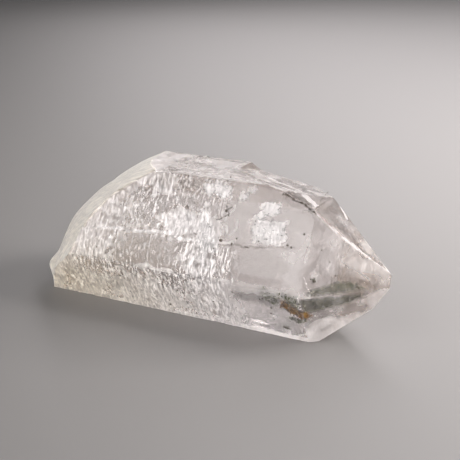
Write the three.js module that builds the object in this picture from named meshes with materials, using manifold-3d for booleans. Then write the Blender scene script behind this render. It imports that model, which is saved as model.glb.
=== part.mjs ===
// Quartz crystal: one natural six-sided point lying on a prism face, with a broken curved end.
// Millimetres, +Z up. The crystal's long axis lies along X, with the point at +X. It rests on
// z = 0, and the origin is under the middle of its overall box.
import * as THREE from 'three';
import { mergeVertices } from 'three/addons/utils/BufferGeometryUtils.js';
import Module from 'manifold-3d';

const wasm = await Module();
wasm.setup();

const { degToRad, lerp, smoothstep } = THREE.MathUtils;

// ---- driving dimensions -------------------------------------------------------------------

const LENGTH = 99.4; // broken end to point
const BASE_FRONT_Y = -11.65; // front edge of the prism face it rests on

// Prism faces meet at 120 degrees. These are their widths across the axis, going round from the
// base's front edge. The last two follow, because the six sides close on themselves.
const WIDTHS = { frontLower: 17.6, frontUpper: 26.3, top: 17.7, backUpper: 20 };
WIDTHS.backLower = WIDTHS.frontLower + WIDTHS.frontUpper - WIDTHS.backUpper;
WIDTHS.base = WIDTHS.frontUpper + WIDTHS.top - WIDTHS.backLower;

// Each face of the point leans this much from the long axis, as on all quartz, and leaves its
// prism face at the X given here: they grew unequally, so the point ends in a short edge.
const POINT_LEAN = 38.2;
const POINT_STARTS = {
  frontLower: 32.0,
  frontUpper: 31.7,
  backUpper: 22.0,
  backLower: 25.6,
  base: 34.0,
};

// The point's upper face grew a few degrees out of true. It, the front upper face and a low
// slanting shoulder from the top all meet at this corner.
const SHOULDER_CORNER = new THREE.Vector3(31.6, -9.35, 34.4);
const UPPER_POINT_NORMAL = new THREE.Vector3(0.651, 0.114, 0.75).normalize();
const SHOULDER_NORMAL = new THREE.Vector3(0.301, 0.112, 0.947).normalize();

// The top keeps a raised terrace towards the broken end. It stops at a short steep step, and a
// slightly lower slope runs on from there to the shoulder.
const TERRACE_END_X = 5.4;
const TERRACE_END_NORMAL = new THREE.Vector3(0.68, 0, 0.733).normalize();
const TERRACE_HEIGHT = 2;
const LOWER_SLOPE_NORMAL = new THREE.Vector3(0.17, 0.206, 0.964).normalize();

// The broken end is one bowed surface, like broken glass. It is worked out over the section from
// u, the place across it, and v, the height up it, each about 1 at the crystal's edges.
const BREAK = {
  middle: { y: 0, z: 15 },
  span: 20,
  reach: -46.5, // X of the break at the middle
  lean: 8.2, // it leans back towards the top
  turn: -2.4,
  bowAcross: 10.1,
  bowUp: 10.7,
  twist: -6.75,
  curl: 2.8,
};
// Low arcs spread over the break from the place that was struck, and a small lip stands out of it.
const ARCS = { y: 14, z: 4, pitch: 6.5, height: 0.3 };
const ROUGHNESS = { pitch: 5, height: 0.8 };
const LIP = { y: -9.5, z: 6.5, wide: 4, tall: 3.2, height: 2.6 };

const REACH = 260; // size of the blocks that cut whole faces
const BLOCK_THICK = 6; // thickness of the blocks that carve a face's relief
const BREAK_BLOCK = { size: 64, cells: 42 }; // the block bent to the break's surface

// ---- small tools --------------------------------------------------------------------------

// A closed three.js geometry as a solid that can be cut.
function solidFrom(geometry) {
  const bare = geometry.index ? geometry.toNonIndexed() : geometry.clone();
  bare.deleteAttribute('normal');
  bare.deleteAttribute('uv');
  const merged = mergeVertices(bare, 1e-5);
  return new wasm.Manifold(
    new wasm.Mesh({
      numProp: 3,
      vertProperties: new Float32Array(merged.attributes.position.array),
      triVerts: new Uint32Array(merged.index.array),
    }),
  );
}

function geometryFrom(solid) {
  const mesh = solid.getMesh();
  const geometry = new THREE.BufferGeometry();
  geometry.setAttribute('position', new THREE.BufferAttribute(mesh.vertProperties, 3));
  geometry.setIndex(new THREE.BufferAttribute(mesh.triVerts, 1));
  geometry.computeVertexNormals();
  return geometry;
}

// A large block that fills the side of a plane that its normal points to.
function outside(normal, point) {
  const block = new THREE.BoxGeometry(REACH, REACH, REACH);
  block.translate(0, 0, REACH / 2);
  const turn = new THREE.Quaternion().setFromUnitVectors(new THREE.Vector3(0, 0, 1), normal);
  block.applyQuaternion(turn);
  block.translate(point.x, point.y, point.z);
  return solidFrom(block);
}

// A number from 0 to 1 for each whole place, the same on every run, and a smooth noise from it.
function scatter(i, j) {
  const wave = Math.sin(i * 127.1 + j * 311.7) * 43758.5453;
  return wave - Math.floor(wave);
}

function noise(x, y) {
  const i = Math.floor(x);
  const j = Math.floor(y);
  const u = smoothstep(x - i, 0, 1);
  const v = smoothstep(y - j, 0, 1);
  const low = lerp(scatter(i, j), scatter(i + 1, j), u);
  const high = lerp(scatter(i, j + 1), scatter(i + 1, j + 1), u);
  return lerp(low, high, v);
}

// ---- the prism ----------------------------------------------------------------------------

// Walks round the section and gives each prism face its frame: a first corner, the direction
// along the crystal, the direction across the face and the outward normal.
function prismFaces() {
  const faces = {};
  const corner = new THREE.Vector3(0, BASE_FRONT_Y, 0);
  const order = ['frontLower', 'frontUpper', 'top', 'backUpper', 'backLower', 'base'];
  order.forEach((name, index) => {
    const angle = degToRad(120 - 60 * index);
    const across = new THREE.Vector3(0, Math.cos(angle), Math.sin(angle));
    faces[name] = {
      corner: corner.clone(),
      along: new THREE.Vector3(1, 0, 0),
      across,
      normal: new THREE.Vector3(0, -across.z, across.y),
    };
    corner.addScaledVector(across, WIDTHS[name]);
  });
  return faces;
}

const prismFace = prismFaces();
const HEIGHT = prismFace.top.corner.z;

function prism() {
  const corners = Object.values(prismFace).map(({ corner }) => corner);
  const section = new THREE.Shape(corners.map(({ y, z }) => new THREE.Vector2(y, z)));
  const bar = new THREE.ExtrudeGeometry(section, { depth: LENGTH * 1.2, bevelEnabled: false });
  // The section was drawn with Y and Z as its own x and y, and it is pushed out along X.
  const turn = new THREE.Matrix4().makeBasis(
    new THREE.Vector3(0, 1, 0),
    new THREE.Vector3(0, 0, 1),
    new THREE.Vector3(1, 0, 0),
  );
  bar.applyMatrix4(turn);
  bar.translate(-LENGTH * 0.6, 0, 0);
  return solidFrom(bar);
}

// ---- the point and the terrace ------------------------------------------------------------

function frameOf(normal, corner, roughlyAcross) {
  const along = roughlyAcross.clone().cross(normal).normalize();
  return { corner, along, across: normal.clone().cross(along), normal };
}

function pointFaces() {
  const lean = degToRad(POINT_LEAN);
  const faces = {
    upper: frameOf(UPPER_POINT_NORMAL, SHOULDER_CORNER, prismFace.top.across),
  };
  for (const [name, start] of Object.entries(POINT_STARTS)) {
    const { corner, normal, across } = prismFace[name];
    const leaning = normal.clone().multiplyScalar(Math.cos(lean)).setX(Math.sin(lean));
    faces[name] = frameOf(leaning, corner.clone().setX(start), across);
  }
  return faces;
}

const pointFace = pointFaces();

function cutPoint(solid) {
  let result = solid.subtract(outside(SHOULDER_NORMAL, SHOULDER_CORNER));
  for (const { normal, corner } of Object.values(pointFace)) {
    result = result.subtract(outside(normal, corner));
  }
  return result;
}

function cutTerraceEnd(solid) {
  const stepTop = new THREE.Vector3(TERRACE_END_X, 0, HEIGHT);
  const stepFoot = new THREE.Vector3(TERRACE_END_X + TERRACE_HEIGHT, 10, HEIGHT - TERRACE_HEIGHT);
  const beyond = outside(TERRACE_END_NORMAL, stepTop);
  const above = outside(LOWER_SLOPE_NORMAL, stepFoot);
  return solid.subtract(beyond.intersect(above));
}

// ---- the break ----------------------------------------------------------------------------

function breakX(y, z) {
  const u = (y - BREAK.middle.y) / BREAK.span;
  const v = (z - BREAK.middle.z) / BREAK.span;
  const slope = BREAK.reach + BREAK.turn * u + BREAK.lean * v;
  const bow = BREAK.bowAcross * u * u + BREAK.bowUp * v * v + BREAK.twist * u * v;
  const arc = Math.sin((Math.hypot(y - ARCS.y, z - ARCS.z) / ARCS.pitch) * 2 * Math.PI);
  const rough = (noise(y / ROUGHNESS.pitch, z / ROUGHNESS.pitch) - 0.5) * ROUGHNESS.height;
  const fromLip = ((y - LIP.y) / LIP.wide) ** 2 + ((z - LIP.z) / LIP.tall) ** 2;
  const lip = LIP.height * Math.exp(-fromLip);
  return slope + bow + BREAK.curl * v ** 3 + arc * ARCS.height + rough - lip;
}

// A block that fills everything past the break. Its near side is bent to the break's surface.
function breakCutter() {
  const { size, cells } = BREAK_BLOCK;
  const block = new THREE.BoxGeometry(1, size, size, 1, cells, cells);
  block.translate(0, 0, HEIGHT / 2);
  const position = block.attributes.position;
  for (let k = 0; k < position.count; k += 1) {
    const near = position.getX(k) > 0;
    position.setX(k, near ? breakX(position.getY(k), position.getZ(k)) : -REACH / 2);
  }
  return solidFrom(block);
}

// ---- relief -------------------------------------------------------------------------------

// One train of steps: each rises slowly over its pitch and drops back, and no two are alike.
function steps(place, { pitch, height }, seed) {
  const count = place / pitch + seed;
  const index = Math.floor(count);
  return (count - index) * scatter(index, seed) * height;
}

// Low steps that run across a prism face, square to the long axis, as natural quartz has.
const WIDE_STEPS = { pitch: 5.2, height: 0.34 };
const NARROW_STEPS = { pitch: 2.3, height: 0.18 };
const BEND = { along: 9, across: 7, reach: 3 };

function striations(x, across, seed) {
  const bend = noise(x / BEND.along + seed, across / BEND.across) * BEND.reach;
  return steps(x + bend, WIDE_STEPS, seed) + steps(x + bend / 2, NARROW_STEPS, seed + 9);
}

// Broad low steps that run aslant on a face of the point.
const POINT_STEPS = { pitch: 6.5, height: 0.16 };
const POINT_BEND = { size: 8, reach: 4 };

function growthSteps(x, across, seed) {
  const bend = noise(x / POINT_BEND.size + seed, across / POINT_BEND.size) * POINT_BEND.reach;
  return steps(x + across / 2 + bend, POINT_STEPS, seed);
}

// A shallow shell-shaped hollow, as a knock leaves.
function hollow(x, across, pit) {
  const away = Math.hypot((x - pit.x) / pit.long, (across - pit.across) / pit.wide);
  return away < 1 ? pit.depth * (1 - away * away) : 0;
}

// The edge of a patch is one number where it is straight, or points joined by straight lines.
function edgeAt(edge, x) {
  if (typeof edge === 'number') {
    return edge;
  }
  const next = edge.findIndex(([at]) => at > x);
  const index = next < 0 ? edge.length - 1 : Math.max(next, 1);
  const [startX, start] = edge[index - 1];
  const [endX, end] = edge[index];
  return lerp(start, end, (x - startX) / (endX - startX));
}

// Shaves a patch of a face down to its relief. The block that does it may hang over the face's
// edges, because it reaches no deeper than the relief.
function carve(solid, face, patch) {
  const [alongCells, acrossCells] = patch.cells;
  const block = new THREE.BoxGeometry(1, 1, 1, alongCells, acrossCells, 1);
  const position = block.attributes.position;
  for (let k = 0; k < position.count; k += 1) {
    const x = lerp(patch.from, patch.to, position.getX(k) + 0.5);
    const low = edgeAt(patch.low, x);
    const high = Math.max(edgeAt(patch.high, x), low + 0.5);
    const across = lerp(low, high, position.getY(k) + 0.5);
    const outer = position.getZ(k) > 0;
    position.setXYZ(k, x, across, outer ? BLOCK_THICK : -patch.depth(x, across));
  }
  const turn = new THREE.Matrix4().makeBasis(face.along, face.across, face.normal);
  block.applyMatrix4(turn);
  block.translate(face.corner.x, face.corner.y, face.corner.z);
  return solid.subtract(solidFrom(block));
}

const SKIM = 0.02; // the least that carving takes off a face
const CALM_STRENGTH = 0.35; // how much of its striations a calm stretch keeps
const THINNEST_LAYER = 0.12;

// What lies on each prism face: where its striations are calm, its hollows, and a thin growth
// layer that is missing on one side of a wavy ledge along the crystal. The layer thins out
// towards the point. across starts at the face's first corner.
const PRISM_RELIEF = {
  frontUpper: {
    seed: 3,
    from: -46,
    to: 35,
    cells: [62, 12],
    calm: (x, across) => x > 9 || (x > -20 && x < -3 && across < 9),
    pits: [
      { x: -21, across: 19.5, long: 3.2, wide: 3.6, depth: 0.8 },
      { x: -13, across: 21, long: 2.6, wide: 4, depth: 0.7 },
      { x: -4, across: 14, long: 5, wide: 4.4, depth: 0.9 },
      { x: 3, across: 6.5, long: 3.4, wide: 4, depth: 0.6 },
      { x: 27.5, across: 24.5, long: 4.5, wide: 3, depth: 0.7 },
    ],
    layer: {
      depth: 0.8,
      high: 30,
      low: [
        [-46, 6.2], [-31, 7.7], [-27, 8.5], [-20.6, 9.5], [-17.5, 9.1], [-12.2, 9.8],
        [-6.9, 10.4], [-4.2, 9.8], [-1.5, 9.3], [3.8, 9.6], [11.4, 9.8], [17.7, 10.3],
        [29.4, 11.7], [36, 12.2],
      ],
    },
  },
  frontLower: {
    seed: 11,
    from: -50,
    to: 36,
    cells: [64, 9],
    calm: (x) => x > 20,
    pits: [
      { x: -37, across: 6.5, long: 4, wide: 3.2, depth: 0.6 },
      { x: -9, across: 13, long: 5, wide: 3, depth: 0.7 },
      { x: 8, across: 8, long: 4, wide: 5, depth: 0.6 },
    ],
  },
  top: {
    seed: 21,
    from: -30,
    to: 17,
    cells: [34, 7],
    calm: () => true,
    pits: [{ x: -13, across: 2, long: 5, wide: 3, depth: 0.5 }],
    layer: {
      depth: 0.7,
      low: -4,
      high: [
        [-30, 9.5], [-19, 8.4], [-12, 7.2], [-6, 7.6], [0, 6.2], [6, 4.6], [11, 2], [14, -2],
      ],
    },
  },
  backUpper: {
    seed: 31,
    from: -46,
    to: 26,
    cells: [54, 8],
    calm: (x) => x > 8,
    pits: [
      { x: -22, across: 9, long: 7, wide: 5, depth: 1 },
      { x: 4, across: 13, long: 4, wide: 4, depth: 0.7 },
    ],
    layer: {
      depth: 0.7,
      high: 24,
      low: [[-46, 13], [-30, 12.2], [-18, 13.6], [-8, 12.8], [6, 14], [26, 13.4]],
    },
  },
  backLower: {
    seed: 41,
    from: -52,
    to: 30,
    cells: [58, 9],
    calm: (x) => x > 12,
    pits: [
      { x: -30, across: 12, long: 6, wide: 4, depth: 0.8 },
      { x: 2, across: 7, long: 6, wide: 4, depth: 0.8 },
    ],
    layer: {
      depth: 0.7,
      low: -4,
      high: [[-52, 8], [-36, 8.8], [-22, 7.8], [-10, 8.8], [4, 8], [30, 8.6]],
    },
  },
};

function carvePrism(solid) {
  let result = solid;
  for (const [name, relief] of Object.entries(PRISM_RELIEF)) {
    const { seed, from, to, cells, calm, pits, layer } = relief;
    const surface = (x, across) => {
      const strength = calm(x, across) ? CALM_STRENGTH : 1;
      const knocks = pits.reduce((sum, pit) => sum + hollow(x, across, pit), 0);
      return SKIM + striations(x, across, seed) * strength + knocks;
    };
    const whole = { from, to, cells, low: -4, high: WIDTHS[name] + 4, depth: surface };
    result = carve(result, prismFace[name], whole);
    if (layer) {
      const thinned = (x) => lerp(layer.depth, THINNEST_LAYER, (x - from) / (to - from));
      const missing = (x, across) => surface(x, across) + thinned(x);
      result = carve(result, prismFace[name], { from, to, cells, ...layer, depth: missing });
    }
  }
  return result;
}

// The faces of the point are smoother. Only the upper one is a little dished.
const POINT_RELIEF = {
  upper: { seed: 51, low: -6, high: 24, dish: { x: 9, across: 2, long: 13, wide: 9, depth: 0.9 } },
  frontUpper: { seed: 52, low: -4, high: 30 },
  frontLower: { seed: 53, low: -4, high: 21 },
  backUpper: { seed: 54, low: -4, high: 24 },
  backLower: { seed: 55, low: -4, high: 28 },
};

function carvePoint(solid) {
  let result = solid;
  for (const [name, { seed, low, high, dish }] of Object.entries(POINT_RELIEF)) {
    const depth = (x, across) => {
      const dished = dish ? hollow(x, across, dish) : 0;
      return SKIM + growthSteps(x, across, seed) + dished;
    };
    const patch = { from: -4, to: 36, cells: [20, 12], low, high, depth };
    result = carve(result, pointFace[name], patch);
  }
  return result;
}

// ---- assembly -----------------------------------------------------------------------------

let crystal = prism();
crystal = cutPoint(crystal);
crystal = cutTerraceEnd(crystal);
crystal = carvePrism(crystal);
crystal = carvePoint(crystal);
crystal = crystal.subtract(breakCutter());

const shape = geometryFrom(crystal);
shape.computeBoundingBox();
const middle = shape.boundingBox.getCenter(new THREE.Vector3());
shape.translate(-middle.x, -middle.y, 0);

const quartz = new THREE.MeshStandardMaterial({
  color: 0xd9d2cf,
  roughness: 0.25,
  metalness: 0,
  transparent: true,
  opacity: 0.6,
});

const quartzCrystal = new THREE.Mesh(shape, quartz);
quartzCrystal.name = 'quartz_crystal';

const group = new THREE.Group();
group.add(quartzCrystal);

export default group;
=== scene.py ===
"""A natural quartz point lying on one of its prism faces, with what grew inside it."""

import contextlib
import itertools
import math

import bmesh
import bpy
import numpy as np
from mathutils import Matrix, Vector, geometry


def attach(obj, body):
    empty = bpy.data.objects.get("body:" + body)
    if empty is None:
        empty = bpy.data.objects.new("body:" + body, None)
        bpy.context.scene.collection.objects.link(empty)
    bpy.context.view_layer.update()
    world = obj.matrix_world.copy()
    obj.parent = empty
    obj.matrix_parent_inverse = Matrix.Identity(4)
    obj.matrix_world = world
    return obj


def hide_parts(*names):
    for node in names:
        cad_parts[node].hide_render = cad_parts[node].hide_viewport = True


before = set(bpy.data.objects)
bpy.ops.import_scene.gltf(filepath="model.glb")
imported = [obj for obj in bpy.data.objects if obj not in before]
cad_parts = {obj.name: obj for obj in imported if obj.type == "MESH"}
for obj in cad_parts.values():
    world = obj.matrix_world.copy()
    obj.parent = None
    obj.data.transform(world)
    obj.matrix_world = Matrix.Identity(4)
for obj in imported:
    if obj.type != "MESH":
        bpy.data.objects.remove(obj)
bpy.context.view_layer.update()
scene = bpy.context.scene

# ---- Camera -------------------------------------------------------------------------------
# A normal lens a little over two crystal lengths away, looking down on the crystal's front
# with its point to the right.

camera_turn = math.radians(26.5)
camera_rise = math.radians(19.5)
camera_distance = 0.232
camera_aim = Vector((0.00194, 0.00407, 0.020))
towards_camera = Vector(
    (
        math.sin(camera_turn) * math.cos(camera_rise),
        -math.cos(camera_turn) * math.cos(camera_rise),
        math.sin(camera_rise),
    )
)

lens = bpy.data.cameras.new("camera")
lens.sensor_fit = "HORIZONTAL"
lens.angle = math.radians(30)
lens.clip_start = 0.01
camera = bpy.data.objects.new("camera", lens)
camera.location = camera_aim + towards_camera * camera_distance
camera.rotation_euler = towards_camera.to_track_quat("Z", "Y").to_euler()
scene.collection.objects.link(camera)
scene.camera = camera

# ---- The quartz body ----------------------------------------------------------------------
# One piece of clear rock crystal, grown as a six-sided prism with an uneven six-faced point
# and snapped off at the other end. Its flat faces are cut from planes, and then growth steps,
# etch marks, hollows and the curved break are worked into a fine mesh. All in millimetres.

MM = 0.001
MIDDLE = np.array([-0.26, 0.12, 0])  # puts the origin under the middle of the crystal
LEAN = math.radians(38.2)  # of the point's faces, from the long axis
BREAK_SIZE = 20  # millimetres from the middle of the broken end to its edge


class Face:
    """A flat crystal face, with directions along and across it and its outward normal."""

    def __init__(self, corner, across, normal):
        self.corner = np.array(corner, float)
        self.normal = np.array(normal, float) / np.linalg.norm(normal)
        along = np.cross(across, self.normal)
        self.along = along / np.linalg.norm(along)
        self.across = np.cross(self.normal, self.along)
        self.level = self.normal @ self.corner

    def flat(self, points):
        """Where points lie on the face, as (along, across)."""
        return (points - self.corner) @ np.array([self.along, self.across]).T

    def under(self, flat_points, depth):
        """The place at a depth below each flat (along, across) point."""
        flat_points = np.array(flat_points, float)
        on_face = flat_points[:, :1] * self.along + flat_points[:, 1:] * self.across
        return self.corner + on_face - np.reshape(depth, (-1, 1)) * self.normal


# The prism: six faces at 60 degrees to each other, going round from the front of the base.
prism_widths = {
    "front_lower": 17.6,
    "front_upper": 26.3,
    "top": 17.7,
    "back_upper": 20.0,
    "back_lower": 23.9,
    "base": 20.1,
}
faces = {}
corner = np.array([0, -11.65, 0]) + MIDDLE
for index, (name, width) in enumerate(prism_widths.items()):
    turn = math.radians(120 - 60 * index)
    across = np.array([0, math.cos(turn), math.sin(turn)])
    faces[name] = Face(corner, across, np.array([0, -across[2], across[1]]))
    corner = corner + across * width

# The point: one face over each prism face. They start at different places along it, and the
# upper one, which meets a low shoulder, grew a little out of true.
point_starts = {
    "front_lower": 32.0,
    "front_upper": 31.7,
    "back_upper": 22.0,
    "back_lower": 25.6,
    "base": 34.0,
}
for name, start in point_starts.items():
    prism_face = faces[name]
    leaning = prism_face.normal * math.cos(LEAN) + np.array([math.sin(LEAN), 0, 0])
    at = prism_face.corner + np.array([start, 0, 0])
    faces["point_" + name] = Face(at, prism_face.across, leaning)
shoulder_corner = np.array([31.6, -9.35, 34.4]) + MIDDLE
faces["point_upper"] = Face(shoulder_corner, (0, 1, 0), (0.651, 0.114, 0.75))
faces["shoulder"] = Face(shoulder_corner, (0, 1, 0), (0.301, 0.112, 0.947))

# The top's raised terrace ends in a short steep step, with a lower slope beyond it.
height = faces["top"].level
step_top = np.array([5.4, 0, height]) + MIDDLE
step_foot = step_top + np.array([2, 10, -2])
terrace_step = Face(step_top, (0, 1, 0), (0.68, 0, 0.733))
lower_slope = Face(step_foot, (0, 1, 0), (0.17, 0.206, 0.964))


def new_object(name, mesh):
    """Puts a mesh into the scene, with its place in the mesh itself."""
    made = bpy.data.objects.new(name, mesh)
    scene.collection.objects.link(made)
    return made


@contextlib.contextmanager
def opened(mesh):
    """Opens a mesh so that its points and faces can be worked on, and closes it again."""
    shell = bmesh.new()
    shell.from_mesh(mesh)
    yield shell
    shell.to_mesh(mesh)
    shell.free()


def solid_between(name, planes):
    """The closed convex solid on the inner side of all the planes: (normal, level) pairs."""
    mesh = bpy.data.meshes.new(name)
    with opened(mesh) as shell:
        for trio in itertools.combinations(planes, 3):
            normals = np.array([normal for normal, _ in trio])
            if abs(np.linalg.det(normals)) < 1e-6:
                continue
            point = np.linalg.solve(normals, [level for _, level in trio])
            if all(normal @ point < level + 1e-6 for normal, level in planes):
                shell.verts.new(point)
        bmesh.ops.remove_doubles(shell, verts=shell.verts, dist=1e-5)
        hull = bmesh.ops.convex_hull(shell, input=shell.verts)
        bmesh.ops.delete(shell, geom=hull["geom_interior"], context="VERTS")
        bmesh.ops.recalc_face_normals(shell, faces=shell.faces)
    return new_object(name, mesh)


def plain_mesh(maker):
    """What an object's modifiers make of it, as a mesh of its own."""
    graph = bpy.context.evaluated_depsgraph_get()
    mesh = bpy.data.meshes.new_from_object(maker.evaluated_get(graph))
    maker.modifiers.clear()
    return mesh


def cut_away(body, cutter, solver):
    """Takes the cutter out of the body."""
    knife = body.modifiers.new("cut", "BOOLEAN")
    knife.object = cutter
    knife.solver = solver
    body.data = plain_mesh(body)
    bpy.data.objects.remove(cutter)


half_box = 75.0  # from the middle to each of its walls, well clear of the crystal
box_walls = [
    (np.array(way, float), half_box)
    for way in itertools.product((-1, 0, 1), repeat=3)
    if sum(map(abs, way)) == 1
]
outline = [(face.normal, face.level) for face in faces.values()]
blank_end = (np.array([-1.0, 0, 0]), 60.0)
blank = solid_between("blank", outline + [blank_end])
notch = solid_between(
    "notch",
    box_walls
    + [(-terrace_step.normal, -terrace_step.level), (-lower_slope.normal, -lower_slope.level)],
)
cut_away(blank, notch, "EXACT")
faces["terrace_step"] = terrace_step
faces["lower_slope"] = lower_slope

# Each flat face is filled with a fine grid: closest on the two front prism faces, whose marks
# are a few tenths of a millimetre wide, and coarser at the back and underneath.
# Each pitch is along and across the face.
grid_pitch = {
    "front_upper": (0.21, 0.4),
    "front_lower": (0.21, 0.4),
    "point_front_upper": (0.3, 0.3),
    "point_front_lower": (0.3, 0.3),
    "base": (2.0, 2.0),
    "back_lower": (0.6, 0.9),
    "back_upper": (0.55, 0.8),
}
usual_pitch = (0.34, 0.5)
EDGE_PITCH = 0.34


def depth_inside(points, loop):
    """How far inside a closed loop each point is. Outside it, this is below 0."""
    result = np.zeros(len(points), bool)
    nearest = np.full(len(points), np.inf)
    for start, end in zip(loop, np.roll(loop, -1, axis=0)):
        way = end - start
        share = np.clip((points - start) @ way / (way @ way), 0, 1)
        nearest = np.minimum(nearest, np.hypot(*(points - start - share[:, None] * way).T))
        crosses = (start[1] > points[:, 1]) != (end[1] > points[:, 1])
        rise = way[1] if way[1] else 1e-12
        left = points[:, 0] < start[0] + way[0] * (points[:, 1] - start[1]) / rise
        result ^= crosses & left
    return np.where(result, nearest, -nearest)


def filled(rim, pitch, margin):
    """Fills a loop of flat points with a grid: all the points, the rim's first, and triangles."""
    low, high = rim.min(0), rim.max(0)
    columns = np.arange(low[0], high[0], pitch[0])
    rows = np.arange(low[1], high[1], pitch[1])
    lattice = np.array(np.meshgrid(columns, rows)).reshape(2, -1).T
    flat_points = np.vstack([rim, lattice[depth_inside(lattice, rim) > margin]])
    points, _, triangles, *_ = geometry.delaunay_2d_cdt(
        [Vector(point) for point in flat_points], [], [list(range(len(rim)))], 1, 1e-6, False
    )
    points = np.array([point[:] for point in points])
    triangles = np.array([triangle[:] for triangle in triangles])
    # A triangle of rim points that goes round against the rim is outside, across a notch.
    a, b, c = triangles.T
    ordered = ((a < b) & (b < c)) | ((b < c) & (c < a)) | ((c < a) & (a < b))
    return points, triangles[ordered | (triangles.max(1) >= len(rim))]


def walk(loop, pitch):
    """Points along a closed loop at an even pitch, with its own corners kept."""
    stops = []
    for start, end in zip(loop, np.roll(loop, -1, axis=0)):
        count = max(1, round(np.linalg.norm(end - start) / pitch))
        stops += [start + (end - start) * k / count for k in range(count)]
    return np.array(stops)


fine_points = []
fine_triangles = []
with opened(blank.data) as shell:
    bmesh.ops.remove_doubles(shell, verts=shell.verts, dist=1e-4)
    bmesh.ops.dissolve_limit(
        shell, angle_limit=math.radians(0.4), verts=shell.verts, edges=shell.edges
    )
    polygons = [
        (np.array(polygon.normal), np.array([vert.co for vert in polygon.verts]))
        for polygon in shell.faces
    ]
for normal, loop in polygons:
    matches = [
        name
        for name, face in faces.items()
        if face.normal @ normal > 0.9999 and abs(face.normal @ loop[0] - face.level) < 1e-3
    ]
    # The blank's far end is cut off later, so it is filled coarsely.
    name = matches[0] if matches else "base"
    face = faces[name] if matches else Face(loop[0], (0, 1, 0), normal)
    pitch = grid_pitch.get(name, usual_pitch)
    rim = face.flat(walk(loop, EDGE_PITCH))
    points, triangles = filled(rim, pitch, EDGE_PITCH * 0.6)
    fine_triangles += (triangles + sum(map(len, fine_points))).tolist()
    fine_points.append(face.under(points, 0))
bpy.data.objects.remove(blank)
quartz_mesh = bpy.data.meshes.new("quartz_point")
quartz_mesh.from_pydata(np.vstack(fine_points).tolist(), [], fine_triangles)
with opened(quartz_mesh) as shell:
    bmesh.ops.remove_doubles(shell, verts=shell.verts, dist=1e-3)
    bmesh.ops.recalc_face_normals(shell, faces=shell.faces)
crystal = new_object("quartz_point", quartz_mesh)


def scatter(i, j):
    """A number from 0 to 1 for each whole place, the same on every run."""
    wave = np.sin(i * 127.1 + j * 311.7) * 43758.5453
    return wave - np.floor(wave)


def noise(x, y):
    """Smooth hills from 0 to 1, about one to each unit."""
    i, j = np.floor(x), np.floor(y)
    u, v = x - i, y - j
    u, v = u * u * (3 - 2 * u), v * v * (3 - 2 * v)
    low = scatter(i, j) * (1 - u) + scatter(i + 1, j) * u
    high = scatter(i, j + 1) * (1 - u) + scatter(i + 1, j + 1) * u
    return low * (1 - v) + high * v


def ease(value, low, high):
    """0 below low, 1 above high and smooth between."""
    share = np.clip((value - low) / (high - low), 0, 1)
    return share * share * (3 - 2 * share)


def break_x(y, z):
    """Where the broken end is, along the crystal: one bowed surface with low arcs on it."""
    y = y - MIDDLE[1]
    u, v = y / BREAK_SIZE, (z - 15) / BREAK_SIZE
    bow = 10.1 * u**2 + 10.7 * v**2 - 6.75 * u * v + 2.8 * v**3
    away = np.hypot(y - 14, z - 4)
    arcs = np.sin(away / 6.5 * 2 * np.pi) * 0.3 + np.sin(away / 2.9 * 2 * np.pi) * 0.04
    rough = (noise(y / 5, z / 5) - 0.5) * 0.8
    lip = 2.6 * np.exp(-(((y + 9.5) / 4) ** 2) - ((z - 6.5) / 3.2) ** 2)
    return -46.5 - 2.4 * u + 8.2 * v + bow + arcs + rough - lip + MIDDLE[0]


# The block that takes off the broken end: a fine sheet bent to the break, walls and a back.
count = 110  # of the sheet's points each way
grid_y, grid_z = np.meshgrid(np.linspace(-24, 24, count), np.linspace(-3, 41, count))
bent = np.dstack([break_x(grid_y, grid_z), grid_y, grid_z]).reshape(-1, 3)
quads = [
    (k, k + 1, k + count + 1, k + count)
    for row in range(count - 1)
    for k in range(row * count, row * count + count - 1)
]
border = (
    list(range(count - 1))
    + [row * count + count - 1 for row in range(count - 1)]
    + [count * count - 1 - k for k in range(count - 1)]
    + [row * count for row in range(count - 1, 0, -1)]
)
back = bent[border] * (0, 1, 1) - (90, 0, 0)
behind = [len(bent) + k for k in range(len(border))]
walls = [
    (border[k - 1], border[k], behind[k], behind[k - 1]) for k in range(len(border))
]
block = bpy.data.meshes.new("break")
block.from_pydata(np.vstack([bent, back]).tolist(), [], quads + walls + [behind])
with opened(block) as shell:
    bmesh.ops.recalc_face_normals(shell, faces=shell.faces)
cut_away(crystal, new_object("break", block), "MANIFOLD")

# Every vertex learns which flat faces it lies on. Where the break took a face away, it has none.
quartz_mesh = crystal.data
with opened(quartz_mesh) as shell:
    bmesh.ops.triangulate(shell, faces=shell.faces)
    bmesh.ops.remove_doubles(shell, verts=shell.verts, dist=2e-3)
places = np.empty(len(quartz_mesh.vertices) * 3)
quartz_mesh.vertices.foreach_get("co", places)
places = places.reshape(-1, 3)
corners = np.empty(len(quartz_mesh.polygons) * 3, int)
quartz_mesh.polygons.foreach_get("vertices", corners)
corners = corners.reshape(-1, 3)
ways = np.cross(
    places[corners[:, 1]] - places[corners[:, 0]], places[corners[:, 2]] - places[corners[:, 0]]
)
ways /= np.maximum(np.linalg.norm(ways, axis=1), 1e-12)[:, None]
face_names = list(faces)
triangle_face = np.full(len(corners), -1)
lies_on = np.zeros((len(places), len(faces)), bool)
for index, face in enumerate(faces.values()):
    near = np.abs(places @ face.normal - face.level) < 3e-3
    on_it = near[corners].all(1) & (ways @ face.normal > 0.7)
    triangle_face[on_it] = index
    lies_on[corners[on_it], index] = True


def steps(place, pitch, height, seed):
    """A train of steps: each rises slowly and drops back, and no two are alike."""
    count = place / pitch + seed
    index = np.floor(count)
    return (count - index) * scatter(index, seed) * height


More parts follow.
